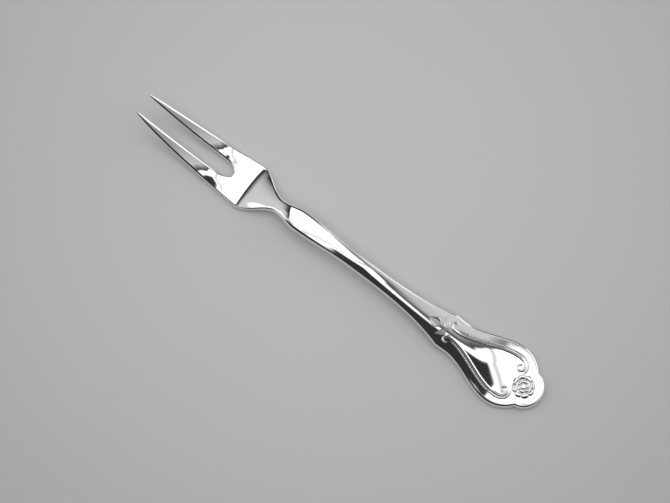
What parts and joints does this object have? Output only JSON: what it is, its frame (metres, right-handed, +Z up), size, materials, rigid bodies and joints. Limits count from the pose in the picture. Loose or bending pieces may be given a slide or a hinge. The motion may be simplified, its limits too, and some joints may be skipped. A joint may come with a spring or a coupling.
{
  "type": "meat fork",
  "caption": "Polished silver serving fork with long tapered tines, a flat palm, a slim stem and a broad handle with leaves, beaded scrolls and a rosette in relief, for lifting cold meat.",
  "frame": {"origin": "on the table below the middle of the fork, which lies face up on the back of its palm and of its handle", "axes": "+X from the tine tips to the handle end, +Y across the fork, +Z up out of its face"},
  "size_m": [0.155, 0.0216, 0.0105],
  "materials": {
    "polished_silver": "mirror polish with faint handling marks",
    "relief_silver": "bright relief, slightly darker in its recesses"
  },
  "bodies": {
    "root": {"fork_body": "polished_silver", "centre_leaf": "relief_silver", "left_leaf": "relief_silver", "right_leaf": "relief_silver", "left_scroll": "relief_silver", "right_scroll": "relief_silver", "left_beading": "relief_silver", "right_beading": "relief_silver", "rosette_petals": "relief_silver", "rosette_heart": "relief_silver", "rosette_eye": "relief_silver"}
  },
  "joints": []
}
